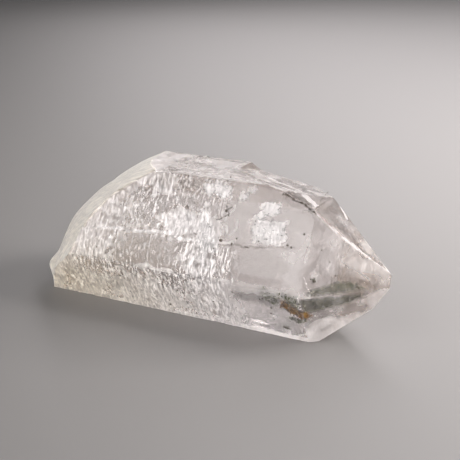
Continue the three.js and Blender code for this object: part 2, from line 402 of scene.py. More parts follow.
def hollow(x, across, pit):
    """A shallow shell-shaped hollow, with faint rings, as a knock leaves."""
    pit_x, pit_across, long, wide, depth = pit
    away = np.hypot((x - pit_x) / long, (across - pit_across) / wide)
    rings = 1 + 0.12 * np.sin(away * 19)
    return np.where(away < 1, depth * (1 - away**2) * rings, 0)


def beside(x, across, line, width):
    """0 on the low side of a line along the crystal, 1 on its high side."""
    line = np.array(line)
    at = np.interp(x, line[:, 0], line[:, 1]) + (noise(x / 1.1, across * 0 + 3) - 0.5) * 0.7
    return ease(across - at, -width / 2, width / 2)


def near_line(x, across, line, width):
    """1 on a line, fading raggedly to 0 at the width from it."""
    away = np.full(len(x), np.inf)
    for (x0, across0), (x1, across1) in zip(line, line[1:]):
        long = (x1 - x0) ** 2 + (across1 - across0) ** 2
        share = ((x - x0) * (x1 - x0) + (across - across0) * (across1 - across0)) / long
        share = np.clip(share, 0, 1)
        here = np.hypot(x - x0 - share * (x1 - x0), across - across0 - share * (across1 - across0))
        away = np.minimum(away, here)
    ragged = noise(x / 0.7 + 5, across / 0.7) + 0.5 * noise(x / 0.3, across / 0.3 + 5)
    return 1 - ease(away * (0.55 + 0.6 * ragged), width * 0.35, width)


def patch(x, across, spot):
    """1 inside an oval patch with a ragged rim, 0 outside."""
    middle_x, middle_across, long, wide = spot
    away = np.hypot((x - middle_x) / long, (across - middle_across) / wide)
    ragged = noise(x / 1.6 + 9, across / 1.6) - 0.5 + 0.5 * (noise(x / 0.5, across / 0.5) - 0.5)
    return 1 - ease(away + 0.55 * ragged, 0.7, 1.1)


def strokes(x, across, cell, long, thin, seed):
    """Short bent strokes, one to a cell, lying mostly across the crystal: 1 on their crests."""
    best = np.zeros(len(x))
    column, row = np.floor(x / cell[0]), np.floor(across / cell[1])
    for i, j in itertools.product((-1, 0, 1), repeat=2):
        i, j = column + i, row + j
        u = x - (i + scatter(i + seed, j)) * cell[0]
        v = across - (j + scatter(i, j + seed)) * cell[1]
        turn = (scatter(i + 2 * seed, j + 5) - 0.35) * 0.9
        u, v = u * np.cos(turn) + v * np.sin(turn), v * np.cos(turn) - u * np.sin(turn)
        size = 0.35 + scatter(i + 3, j + 3 * seed)
        u = u - (scatter(i + 4, j + seed) - 0.5) * 1.2 * v * v / long
        crest = np.exp(-((u / thin) ** 2) - (v / (long * size)) ** 4)
        best = np.maximum(best, crest * np.minimum(size, 1))
    return best


# What the faces carry. A ledge is where a thin growth layer stops: points on its line, which
# side of it is missing, and how deep the step is at the broken end and at the point. A hollow
# is its place along and across, its half length and half width, and its depth.
ledges = {
    "front_upper": (
        [(-46, 6.2), (-31, 7.7), (-27, 8.5), (-20.6, 9.5), (-17.5, 9.1), (-12.2, 9.8),
         (-6.9, 10.4), (-4.2, 9.8), (-1.5, 9.3), (3.8, 9.6), (11.4, 9.8), (17.7, 10.3),
         (29.4, 11.7), (36, 12.2)],
        1, 0.8, 0.12,
    ),
    "top": (
        [(-30, 9.5), (-19, 8.4), (-12, 7.2), (-6, 7.6), (0, 6.2), (6, 4.6), (11, 2), (14, -2)],
        -1, 0.16, 0.1,
    ),
    "back_upper": (
        [(-46, 13), (-30, 12.2), (-18, 13.6), (-8, 12.8), (6, 14), (26, 13.4)], 1, 0.7, 0.12,
    ),
    "back_lower": (
        [(-52, 8), (-36, 8.8), (-22, 7.8), (-10, 8.8), (4, 8), (30, 8.6)], -1, 0.7, 0.12,
    ),
}
hollows = {
    "front_upper": [
        (-21, 19.5, 3.2, 3.6, 0.8), (-13, 21, 2.6, 4, 0.7), (-4, 14, 5, 4.4, 0.9),
        (3, 6.5, 3.4, 4, 0.6), (27.5, 24.5, 4.5, 3, 0.7), (-7.3, 12.8, 2, 1.8, 0.4),
        (-22.2, 17.1, 1.6, 1.8, 0.4), (-0.7, 10.6, 2.2, 1.6, 0.35), (-33, 14, 3, 4, 0.4),
    ],
    "front_lower": [
        (-37, 6.5, 4, 3.2, 0.6), (-9, 13, 5, 3, 0.7), (8, 8, 4, 5, 0.6), (-28, 3, 3, 2, 0.4),
        (-44, 4, 3, 3, 0.4), (19, 3, 3, 2, 0.35),
    ],
    "top": [(-13, 2, 5, 3, 0.5), (-4, 12, 4, 3, 0.35)],
    "back_upper": [(-22, 9, 7, 5, 1), (4, 13, 4, 4, 0.7)],
    "back_lower": [(-30, 12, 6, 4, 0.8), (2, 7, 6, 4, 0.8)],
    "point_upper": [(9, 2, 13, 9, 0.9)],
}


def etched(name, x, across):
    """How thickly etch marks lie on a face: 0 for none, 1 for side by side, more for crowded."""
    if name == "front_upper":
        # A calm window low on the face and, beside it, a crowded patch that sparkles.
        window = ease(x, -22, -19) * (1 - ease(x, -4, -2)) * (1 - ease(across, 8, 9.5))
        sparkle = ease(x, -2, 3) * (1 - ease(x, 11, 17)) * (1 - ease(across, 8.5, 10))
        amount = 0.9 - 0.15 * ease(x, -18, -10) - 0.65 * ease(x, 6, 12)
        return amount - 0.3 * window + 1.1 * sparkle
    if name == "front_lower":
        return 1.4 - 1.15 * ease(x + across / 3, 10, 21)
    if name.startswith("back"):
        return 0.6 - 0.3 * ease(x, 4, 14)
    if name.startswith("point_front"):
        return 0.16 + 0 * x
    if name in ("top", "lower_slope"):
        return 0.38 + 0 * x
    return 0.15 + 0 * x


def worn_edges(name, x, across):
    """The edges that are rubbed round: how far away each is, how far in it's worn, how deep."""
    low, high = prism_widths["front_lower"] - across, prism_widths["front_upper"] - across
    front = 1.2 * (1 - ease(x, 26, 33))
    return {
        "front_lower": [(low, 6, front), (point_starts["front_lower"] - x, 2, 0.15)],
        "front_upper": [
            (across, 6, front), (high, 3, 0.4), (point_starts["front_upper"] - x, 2, 0.15),
        ],
        "top": [(across, 3, 0.4)],
        "point_front_lower": [(x, 2, 0.15)],
        "point_front_upper": [(x, 2, 0.15)],
    }.get(name, [])


def relief(name, x, across):
    """How far a face's surface lies below its flat plane."""
    seed = 10 + 7 * face_names.index(name)
    depth = 0.02 + noise(x / 4.3 + seed, across / 3.7) * 0.07
    if name.startswith("point"):
        # Low growth steps, slanting both ways across the point's faces.
        bend = noise(x / 8 + seed, across / 8) * 4
        depth += steps(x + across / 2 + bend, 6.5, 0.12, seed)
        depth += steps(x - across / 3 + bend / 2, 1.7, 0.03, seed)
    elif name in ("top", "lower_slope", "shoulder", "terrace_step"):
        # Steps that run along the crystal, and a few across it.
        bend = noise(x / 11, across / 2 + seed) * 1.6
        depth += steps(across + bend, 2.7, 0.16, seed) + steps(across - bend, 1.1, 0.07, seed)
        depth += steps(x + bend * 2, 4.1, 0.08, seed)
    else:
        # The prism's striae, four sizes of step across the crystal, and its etch marks.
        bend = noise(x / 9 + seed, across / 7) * 3
        grown = steps(x + bend, 5.2, 0.2, seed) + steps(x + bend / 2, 2.3, 0.12, seed + 9)
        grown += steps(x + bend / 3, 1.15, 0.06, seed + 2) + steps(x, 0.8, 0.035, seed + 4)
        marks = etched(name, x, across)
        depth += grown * (0.12 + 0.88 * marks)
        depth += strokes(x, across, (0.9, 1.5), 0.8, 0.2, seed) * 0.07 * marks
        depth += strokes(x, across, (2.2, 2.6), 1.1, 0.34, seed + 3) * 0.12 * marks
    for pit in hollows.get(name, []):
        depth += hollow(x, across, pit)
    for away, reach, deep in worn_edges(name, x, across):
        depth += deep * np.clip(1 - away / reach, 0, 1) ** 2
    if name in ledges:
        line, missing_side, deep, thin = ledges[name]
        share = np.clip((x - line[0][0]) / (line[-1][0] - line[0][0]), 0, 1)
        missing = beside(x, across, line, 0.5)
        if missing_side < 0:
            missing = 1 - missing
        depth += missing * (deep + (thin - deep) * share)
    return depth


# How cloudy each face's skin is all over, then its cloudy patches (middle along and across,
# half length, half width, how much) and streaks (points on the line, width, how much). Some
# streaks are painted highlights, laid white where a ledge or a crest catches the light.
clouding = {
    "front_upper": 0.3,
    "front_lower": 0.38,
    "top": 0.4,
    "lower_slope": 0.5,
    "terrace_step": 0.2,
    "shoulder": 0.34,
    "point_upper": 0.34,
    "point_front_upper": 0.4,
    "point_front_lower": 0.62,
}
cloudy_patches = {
    "front_upper": [
        (-30, 12, 12, 16, 0.22), (-33, 4, 11, 5, 0.2), (3.5, 4.5, 5.5, 5, 0.55),
        (5.5, 12, 3, 4, 0.25), (-4, 13, 6, 4, 0.65), (34, 11, 13, 16, 0.08),
        (33, 9, 6, 12, 0.06), (27, 22, 4, 3, 0.1),
        (-12, 23, 7, 3, 0.2), (-12, 4.5, 7, 3.5, -0.2), (20, 6, 9, 4.5, -0.24),
        (11.8, 20.6, 2.4, 1.3, -0.2), (24, 19, 10, 9, -0.2),
    ],
    "front_lower": [
        (-36, 7, 12, 7, 0.2), (-12, 6, 14, 8, 0.26), (8, 9, 8, 9, 0.28),
        (28, 13, 9, 5, -0.35),
    ],
    "top": [(-24, 8, 14, 14, 0.2)],
    "point_front_upper": [(-1, 10, 4, 14, -0.06), (16, 11, 6, 3, 0.08), (10, 4, 10, 4.5, -0.2)],
    "point_front_lower": [(6, 3, 9, 4, 0.25), (8, 13, 11, 5.5, -0.3)],
    "point_upper": [(14, 9, 9, 3, 0.15)],
}
cloudy_and_highlight_streaks = {
    "front_upper": [
        # The first streak is a painted highlight: the white line where the growth ledge faces up
        # into the light.
        ([(-31, 7.7), (-27, 8.5), (-20.6, 9.5), (-17.5, 9.1), (-12.2, 9.8), (-6.9, 10.4),
          (-4.2, 9.8), (-1.5, 9.3), (3, 9.5)], 0.6, 0.95),
        ([(-12.3, 0.7), (-9.6, 1.2), (-7.5, 0.2), (-5, 0.9), (-2.6, 0.6)], 0.8, 0.75),
        ([(-12.7, 22.8), (-13.4, 21.4), (-13.1, 19.7)], 1.1, 0.75),
        ([(-5, 16.3), (-2.6, 15.2), (-0.6, 14.9)], 0.9, 0.6),
        ([(-10.5, 13.9), (-7.3, 12.4), (-5.8, 13.4)], 0.5, 0.5),
        ([(-5.9, 11.9), (-4, 10.9), (-2.2, 11.6)], 0.5, 0.6),
        ([(-2.2, 12), (-0.7, 9.9), (1.2, 10.6)], 0.6, 0.6),
        ([(-23.5, 16.6), (-22.2, 18.2), (-20.4, 17.4)], 0.5, 0.6),
        ([(-22, 20.9), (-19.8, 21.6), (-18.8, 20)], 0.5, 0.55),
        ([(-18.6, 10.4), (-14, 11), (-11.6, 10.5)], 0.9, 0.4),
        ([(6.2, 12.4), (6.6, 14.4), (8.2, 15.2), (9.7, 14.4), (10.1, 12.8)], 0.32, 0.6),
        ([(7, 12), (7.1, 13.5), (8.2, 14.2), (9, 13.6), (9.1, 12.4)], 0.3, 0.55),
        ([(5.4, 11), (6.8, 10.2), (9.4, 10), (12.2, 10.6)], 0.5, 0.65),
        ([(9.6, 17.2), (10.8, 18.9), (10.6, 20.2)], 0.3, 0.45),
        ([(11, 12.2), (12.4, 14.4), (12.2, 16.4)], 0.6, 0.4),
        ([(-38, 12), (-37, 17), (-34, 21)], 0.5, 0.6),
        ([(9, 0.5), (20, 0.5), (31, 0.5)], 2.2, 0.35),
        ([(-31, 2.2), (-28.5, 1.2), (-25, 2.4), (-22.5, 1.4), (-20.5, 3.4)], 0.6, 0.7),
    ],
    "front_lower": [
        ([(-46, 0.5), (-20, 0.7), (0, 0.6), (20, 0.8), (33, 0.9)], 1.2, 0.7),
        ([(-14, 18), (-11.6, 16.4), (-10.6, 14.2), (-9.4, 11.7)], 0.6, 0.6),
        ([(29.6, 2.2), (31.6, 3.4), (33, 2)], 0.5, 0.5),
        ([(9, 16.4), (20, 16.8), (31, 17)], 2.6, 0.4),
    ],
    "top": [
        ([(-26, 1.2), (-10, 0.5), (8, 0.6), (22, 1)], 0.7, 0.4),
        ([(-24, 6), (-8, 5), (4, 3.4)], 0.6, 0.35),
    ],
    "lower_slope": [
        ([(1.5, -4), (9.8, -8), (16.2, -10.3)], 0.7, 0.7),
        ([(3, -10), (12, -13.5), (20, -15.5)], 0.6, 0.6),
        ([(4, -14.5), (12, -16.5), (20, -18)], 0.6, 0.6),
    ],
    "shoulder": [([(-5, 5.6), (-2.5, 3.6), (0, 1.6)], 1.5, 0.6)],
    "point_upper": [
        ([(6, 2.2), (12, 1.4), (19, 3.2), (23, 6)], 0.9, 0.4),
        # This streak and the first on the point's front upper face make a painted highlight along
        # the crest between them.
        ([(13, 12.3), (17, 11), (22.9, 6.9)], 1.3, 0.7),
        ([(3.8, 13.7), (6.6, 11.2)], 0.7, 0.7),
    ],
    "point_front_upper": [
        # A painted highlight: white laid along the crest where it catches the light.
        ([(-0.5, 21.5), (5.4, 18.2), (10.7, 15.8), (21, 11.8)], 0.3, 0.7),
        ([(10.8, 11.1), (17.1, 8.7)], 0.3, 0.35),
    ],
}

# Where a healed crack comes up to the front upper face: the loop round it, how far under the
# skin it lies, and how white it makes the skin above it, partly frost and partly a painted
# reflection of the light the crack throws back.
healed = [
    ([(0.2, 24.4), (3.9, 25.3), (8.2, 24.9), (9.2, 22.9), (7.2, 21.2), (3.9, 21.9), (1.4, 21.6)],
     0.5, 1.05),
    ([(1.2, 16.5), (2.5, 19.0), (4.2, 16.4), (6.3, 13.2), (8.4, 11.2), (9.0, 8.2), (3.3, 7.0),
      (2.2, 9.7), (1.3, 13.4)], 0.5, 1.35),
    ([(17.5, 21.4), (19.8, 22.0), (22.6, 21.8), (23.1, 19.4), (21.1, 18.4), (18.3, 18.4),
      (17.4, 19.9)], 0.6, 1.0),
    ([(16.2, 16.8), (18.7, 17.7), (24.8, 17.9), (26.0, 12.6), (21.8, 11.4), (17.6, 11.6),
      (16.1, 13.9)], 0.6, 0.95),
    ([(15.6, 16.6), (16.8, 19.6), (19.2, 20.2), (19.8, 18.6), (18.0, 16.8)], 0.6, 0.9),
    ([(10.8, 23.0), (13.8, 23.4), (14.1, 21.9), (11.2, 21.5)], 0.4, 0.8),
    ([(13.7, 24.4), (15.0, 24.6), (15.2, 23.5), (13.9, 23.3)], 0.4, 0.9),
    ([(-12.9, 22.9), (-10.2, 22.8), (-9.3, 21.1), (-11.4, 19.6), (-13.4, 21.1)], 0.5, 0.8),
    ([(-5.2, 16.2), (-2.5, 16.6), (0.4, 15.6), (1.2, 14.4), (-1.4, 13.4), (-3.4, 14.7)],
     0.5, 0.85),
]


def frost_and_painted_reflection(x, across, loop):
    """About 1 inside a crack's loop, streaked along the crystal, with a ragged rim: 0 outside."""
    ragged = noise(x / 1.5, across / 1.1) + 0.6 * noise(x / 0.5, across / 0.4) - 0.8
    reach = depth_inside(np.column_stack([x, across]), np.array(loop, float)) + 2.4 * ragged
    streaked = noise(x / 1.7, across / 0.4 + 7) * 0.6 + noise(x / 0.5, across / 0.8) * 0.4
    return ease(reach, -1.2, 1.6) * (0.05 + 1.3 * streaked)


def cloudiness_and_painted_light(name, x, across):
    """How white a face's skin is, from 0, clear, to 1, with painted highlights and reflections."""
    seed = 30 + 7 * face_names.index(name)
    white = clouding.get(name, 0.2) * (0.2 + 0.8 * noise(x / 3 + seed, across / 3))
    for *spot, amount in cloudy_patches.get(name, []):
        white += patch(x, across, spot) * amount
    for line, width, amount in cloudy_and_highlight_streaks.get(name, []):
        white = np.maximum(white, near_line(x, across, line, width) * amount)
    if name == "front_upper":
        # Over each healed crack the skin is painted white: partly frost, partly a painted
        # reflection of the crack's glare.
        for loop, _, frost_and_reflection_amount in healed:
            white = np.maximum(white, frost_and_painted_reflection(x, across, loop) * frost_and_reflection_amount)
    return np.clip(white, 0, 0.9)


# Each vertex sinks by its faces' relief. On an edge it slides to where the sunk faces meet.
depths = np.zeros(lies_on.shape)
white = np.zeros(len(places))
marked = np.zeros(len(places))
for index, (name, face) in enumerate(faces.items()):
    rows = lies_on[:, index]
    x, across = face.flat(places[rows]).T
    if name != "base":
        depths[rows, index] = relief(name, x, across)
    white[rows] = np.maximum(white[rows], cloudiness_and_painted_light(name, x, across))
    marked[rows] = np.maximum(marked[rows], etched(name, x, across))
    if name == "front_upper":
        for loop, _, frost_and_reflection_amount in healed:
            marked[rows] = np.maximum(marked[rows], frost_and_painted_reflection(x, across, loop))
normals = np.array([face.normal for face in faces.values()])
several = lies_on.sum(1)
sunk = places - np.where(several == 1, 1, 0)[:, None] * (depths @ normals)
for row in np.flatnonzero(several > 1):
    on = lies_on[row]
    sunk[row] = places[row] - np.linalg.lstsq(normals[on], depths[row, on], rcond=None)[0]
quartz_mesh.vertices.foreach_set("co", (sunk * MM).ravel())
quartz_mesh.update()

# The broken end is white and finely streaked, with a warm tint, and whitens the skin beside it.
broken = several == 0
from_break = places[:, 0] - break_x(places[:, 1], places[:, 2])
white = np.maximum(white, 0.5 - 0.2 * ease(from_break, 0, 4) - 0.2 * ease(from_break, 2, 10))
white[broken] = 0.95
marked[broken] = 0.5
# A faint iron tint covers the broken end and, low down, thins out along the crystal.
stain = (1 - ease(sunk[:, 0], -40, 12)) * (1 - ease(sunk[:, 2], 6, 24))
stain[broken] = np.maximum(stain[broken], 0.8)
for name, values in (("white", white), ("marked", marked), ("stain", stain)):
    attribute = quartz_mesh.attributes.new(name, "FLOAT", "POINT")
    attribute.data.foreach_set("value", values)

# The flat lay of each face, in millimetres, for the finest marks of the finish.
lay = np.zeros((len(corners) * 3, 2))
for index, (name, face) in enumerate(faces.items()):
    rows = np.repeat(triangle_face == index, 3)
    flat = face.flat(places[corners.ravel()[rows]])
    # On top the marks run along the crystal, everywhere else across it.
    lay[rows] = (flat[:, ::-1] if name in ("top", "lower_slope") else flat) + (0, 40 * index)
rows = np.repeat(triangle_face < 0, 3)
lay[rows] = places[corners.ravel()[rows]][:, 1:] - (0, 60)
quartz_mesh.uv_layers.new(name="lay").data.foreach_set("uv", lay.ravel())


def linear(hex_colour):
    """An sRGB hex colour as the linear colour that nodes take."""
    parts = [int(hex_colour[k : k + 2], 16) / 255 for k in (1, 3, 5)]
    return (*(c / 12.92 if c <= 0.04045 else ((c + 0.055) / 1.055) ** 2.4 for c in parts), 1)


def add(tree, kind, inputs=(), **settings):
    """Adds a node. Each input, by name or number, takes a value or the socket that feeds it.

    A Map Range's inputs 1 to 4 are the low and high end of what comes in and what goes out.
    """
    made = tree.nodes.new(kind)
    for key, value in settings.items():
        setattr(made, key, value)
    for key, value in dict(inputs).items():
        if isinstance(value, bpy.types.NodeSocket):
            tree.links.new(value, made.inputs[key])
        else:
            made.inputs[key].default_value = value
    return made


def new_material(name):
    """A material with an empty tree, and the tree."""
    made = bpy.data.materials.new(name)
    made.use_nodes = True
    made.node_tree.nodes.clear()
    return made, made.node_tree


def smooth(mesh):
    """Shades a mesh as one rounded surface."""
    mesh.polygons.foreach_set("use_smooth", np.ones(len(mesh.polygons), bool))


# Rock crystal as it grew, etched by the water it grew in: clear inside, with a skin that is
# glossy in its windows and goes white and dull where the etch marks crowd together. The scales
# are in marks to the millimetre, along and across.
quartz, tree = new_material("etched rock crystal")
lie = add(tree, "ShaderNodeUVMap", uv_map="lay")
stretch = add(tree, "ShaderNodeMapping", {"Vector": lie.outputs[0], "Scale": (1.7, 0.6, 1)})
swirl = add(
    tree, "ShaderNodeTexNoise",
    {"Vector": stretch.outputs[0], "Scale": 1.0, "Detail": 1.5, "Distortion": 0.7},
)
grain_lie = add(tree, "ShaderNodeMapping", {"Vector": lie.outputs[0], "Scale": (1.5, 0.7, 1)})
grain = add(
    tree, "ShaderNodeTexNoise", {"Vector": grain_lie.outputs[0], "Scale": 1.0, "Detail": 4.0}
)
striae_lie = add(tree, "ShaderNodeMapping", {"Vector": lie.outputs[0], "Scale": (1.7, 0.17, 1)})
striae = add(
    tree, "ShaderNodeTexNoise",
    {"Vector": striae_lie.outputs[0], "Scale": 1.0, "Detail": 2.0, "Distortion": 0.25},
)
# Each etch mark is a hair-thin line where the swirl passes its middle, broken up by the grain.
away = add(tree, "ShaderNodeMath", {0: swirl.outputs[0], 1: 0.5}, operation="SUBTRACT")
away = add(tree, "ShaderNodeMath", {0: away.outputs[0]}, operation="ABSOLUTE")
line = add(
    tree, "ShaderNodeMapRange", {"Value": away.outputs[0], 1: 0.0, 2: 0.09, 3: 1.0, 4: 0.0},
    interpolation_type="SMOOTHSTEP",
)
patchy = add(
    tree, "ShaderNodeMapRange", {"Value": grain.outputs[0], 1: 0.38, 2: 0.62, 3: 0.25, 4: 1.3}
)
skin_white = add(tree, "ShaderNodeAttribute", attribute_name="white")
skin_marked = add(tree, "ShaderNodeAttribute", attribute_name="marked")
skin_stain = add(tree, "ShaderNodeAttribute", attribute_name="stain")
# The striae, growth lines right across the crystal, are as fine but straight and long.
grooves = add(
    tree, "ShaderNodeMapRange", {"Value": striae.outputs[0], 1: 0.48, 2: 0.7, 3: 0.0, 4: 1.0},
    interpolation_type="SMOOTHSTEP",
)
marks = add(
    tree, "ShaderNodeMath",
    {0: line.outputs[0], 1: patchy.outputs[0], 2: grooves.outputs[0]},
    operation="MULTIPLY_ADD",
)
grit = add(
    tree, "ShaderNodeMapRange", {"Value": grain.outputs[0], 1: 0.35, 2: 0.65, 3: -0.6, 4: 0.4}
)
etching = add(tree, "ShaderNodeMath", {0: marks.outputs[0], 1: grit.outputs[0]}, operation="ADD")
texture = add(
    tree, "ShaderNodeMath", {0: etching.outputs[0], 1: skin_marked.outputs["Fac"]},
    operation="MULTIPLY",
)
white_over = add(
    tree, "ShaderNodeMath", {0: texture.outputs[0], 1: 0.6, 2: skin_white.outputs["Fac"]},
    operation="MULTIPLY_ADD",
)
see_through = add(
    tree, "ShaderNodeMapRange",
    {"Value": white_over.outputs[0], 1: -0.1, 2: 1.4, 3: 1.0, 4: 0.1},
    interpolation_type="SMOOTHSTEP",
)
dullness = add(
    tree, "ShaderNodeMapRange", {"Value": skin_white.outputs["Fac"], 2: 1.0, 3: 0.1, 4: 0.65}
)
colour = add(
    tree, "ShaderNodeMix",
    {0: skin_stain.outputs["Fac"], 6: linear("#fcf8f7"), 7: linear("#f6efe0")},
    data_type="RGBA",
)
# Where the skin is white and marked, it is greyer between the marks than on them.
crowded = add(
    tree, "ShaderNodeMath", {0: skin_white.outputs["Fac"], 1: skin_marked.outputs["Fac"]},
    operation="MULTIPLY",
)
greyest = add(tree, "ShaderNodeMapRange", {"Value": crowded.outputs[0], 3: 1.0, 4: 0.48})
lit = add(
    tree, "ShaderNodeMapRange",
    {"Value": etching.outputs[0], 1: -0.4, 2: 1.0, 3: greyest.outputs[0], 4: 1.02},
)
toned = add(
    tree, "ShaderNodeHueSaturation", {"Value": lit.outputs[0], "Color": colour.outputs[2]}
)
bumps = add(
    tree, "ShaderNodeBump", {"Strength": 0.5, "Distance": 0.15 * MM, "Height": texture.outputs[0]}
)
# The whitest skin has a velvety bloom, as fine ground glass has.
bloom = add(
    tree, "ShaderNodeMapRange", {"Value": skin_white.outputs["Fac"], 1: 0.6, 2: 1.0, 4: 0.45}
)
body = add(
    tree, "ShaderNodeBsdfPrincipled",
    {
        "Base Color": toned.outputs[0],
        "Roughness": dullness.outputs[0],
        "IOR": 1.544,
        "Transmission Weight": see_through.outputs[0],
        "Normal": bumps.outputs[0],
        "Sheen Weight": bloom.outputs[0],
        "Sheen Roughness": 0.5,
    },
)
# Through the crystal's 40 mm, light loses a tenth or so, and blue a little more than red.
dim = add(tree, "ShaderNodeVolumeAbsorption", {"Color": linear("#ece4e0"), "Density": 16.0})
add(tree, "ShaderNodeOutputMaterial", {"Surface": body.outputs[0], "Volume": dim.outputs[0]})
quartz_mesh.materials.clear()
quartz_mesh.materials.append(quartz)
smooth(quartz_mesh)
quartz_mesh.set_sharp_from_angle(angle=math.radians(28))
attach(crystal, "root")
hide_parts("quartz_crystal")

# ---- Healed cracks ------------------------------------------------------------------------
# Places where the growing crystal cracked and sealed itself again. Each is a thin curved sheet
# of tiny gas bubbles, about half a millimetre under the skin, that throws light back white.


def film(face_name, loop, sunk_by, thick, ragged, pitch=0.4):
    """A closed, lens-thin sheet inside a ragged loop, at an even depth under a face's skin."""
    rim = walk(np.array(loop, float), pitch)
    outwards = rim - rim.mean(0)
    outwards /= np.linalg.norm(outwards, axis=1)[:, None]
    x, across = rim.T
    wobble = noise(x * 0.9, across * 0.9) - 0.5 + 0.6 * (noise(x * 2.6, across * 2.6) - 0.5)
    rim = rim + outwards * (ragged * wobble)[:, None]
    points, triangles = filled(rim, (pitch, pitch), pitch * 0.6)
    rim_count = len(rim)
    # A triangle with all its corners on the rim has no thickness, so it is left out.
    triangles = triangles[triangles.max(1) >= rim_count]
    from_rim = np.min(np.linalg.norm(points[:, None] - rim[None], axis=2), axis=1)
    x, across = points.T
    deep = relief(face_name, x, across) + sunk_by + 0.5 * (noise(x / 2.4, across / 2.4) - 0.5)
    half = thick / 2 * ease(from_rim, 0, 1)
    face = faces[face_name]
    upper = face.under(points, deep - half)
    lower = face.under(points, deep + half)[rim_count:]
    below = np.arange(len(points))
    below[rim_count:] += len(points) - rim_count
    sheet = bpy.data.meshes.new("film")
    both = triangles.tolist() + below[triangles][:, ::-1].tolist()
    sheet.from_pydata((np.vstack([upper, lower]) * MM).tolist(), [], both)
    fade = ease(from_rim + 0.4 * noise(x * 2.2, across * 2.2), 0.1, 1.1)
    values = np.concatenate([fade, fade[rim_count:]])
    sheet.attributes.new("fade", "FLOAT", "POINT").data.foreach_set("value", values)
    return sheet


def joined(name, meshes):
    """One mesh from several, which are freed, without points that belong to no face."""
    whole = bpy.data.meshes.new(name)
    with opened(whole) as shell:
        for mesh in meshes:
            shell.from_mesh(mesh)
            bpy.data.meshes.remove(mesh)
        loose = [vert for vert in shell.verts if not vert.link_faces]
        bmesh.ops.delete(shell, geom=loose, context="VERTS")
    return whole


def inside_quartz(piece):
    """What grew inside the crystal moves with it and stands for a bit of it."""
    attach(piece, "root")
    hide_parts("quartz_crystal")


sheets = [
    film("front_upper", loop, sunk_by, thick=0.25, ragged=0.9) for loop, sunk_by, _ in healed
]
cracks_mesh = joined("healed_cracks", sheets)

# Gas bubbles too small to see one by one, each a tiny mirror: together a soft silvery white,
# in clouds of about 0.7 mm with clear gaps between them.
bubbly, tree = new_material("bubble film in a healed crack")
where = add(tree, "ShaderNodeTexCoord")
clouds = add(
    tree, "ShaderNodeTexNoise",
    {"Vector": where.outputs["Object"], "Scale": 1 / (0.714 * MM), "Detail": 4.0},
)
fade = add(tree, "ShaderNodeAttribute", attribute_name="fade")
thickness = add(tree, "ShaderNodeMapRange", {"Value": clouds.outputs[0], 1: 0.3, 2: 0.5})
cover = add(
    tree, "ShaderNodeMath", {0: thickness.outputs[0], 1: fade.outputs["Fac"]},
    operation="MULTIPLY",
)
glow = add(
    tree, "ShaderNodeBsdfPrincipled",
    {
        "Base Color": linear("#ffffff"),
        "Metallic": 0.6,
        "Roughness": 0.42,
        "Alpha": cover.outputs[0],
    },
)
add(tree, "ShaderNodeOutputMaterial", {"Surface": glow.outputs[0]})
cracks_mesh.materials.append(bubbly)
smooth(cracks_mesh)
inside_quartz(new_object("healed_cracks", cracks_mesh))

# ---- Flakes in the cracks -----------------------------------------------------------------
# Where a healed crack did not close flat, small mirror-like slivers of gas stay in it. They
# are spread over the crack sheets at every tilt, so that some always catch the light.


